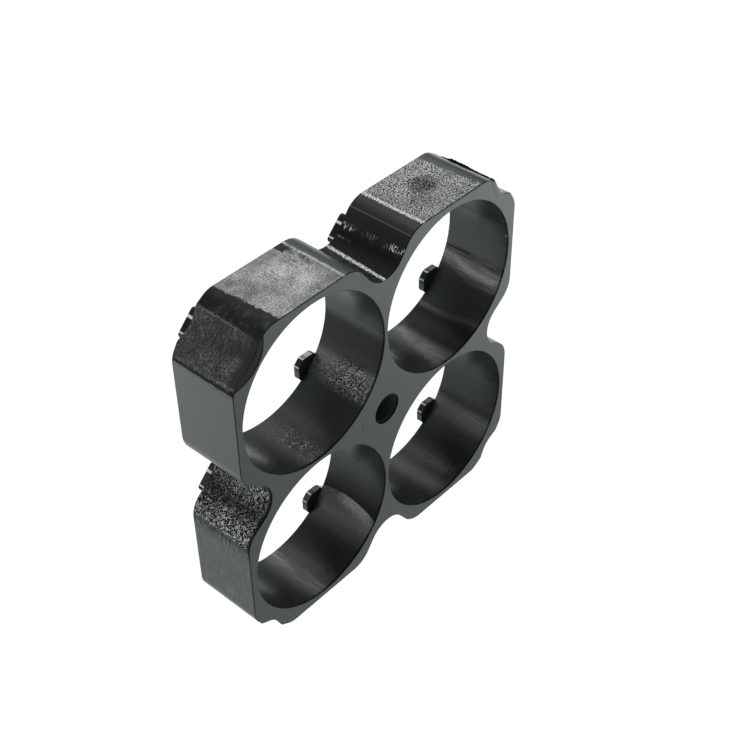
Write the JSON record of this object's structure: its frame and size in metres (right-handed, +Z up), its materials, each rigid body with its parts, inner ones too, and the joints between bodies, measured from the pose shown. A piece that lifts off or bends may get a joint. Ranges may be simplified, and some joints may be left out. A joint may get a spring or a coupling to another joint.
{
  "type": "battery cell holder bracket",
  "caption": "Moulded plastic bracket that holds cylindrical cells side by side in round bores, with stop tabs at the back and a screw hole in the middle.",
  "frame": {"origin": "centre of the middle screw hole on the front face", "axes": "+Z up, +Y from the front face to the back where the stop tabs are, +X to the right seen from the front"},
  "size_m": [0.0682, 0.0148, 0.0682],
  "materials": {
    "black_plastic": "satin black moulding, smooth face, sanded or grained rim, semi-gloss bores"
  },
  "bodies": {
    "root": {"cell_holder": "black_plastic"}
  },
  "joints": []
}
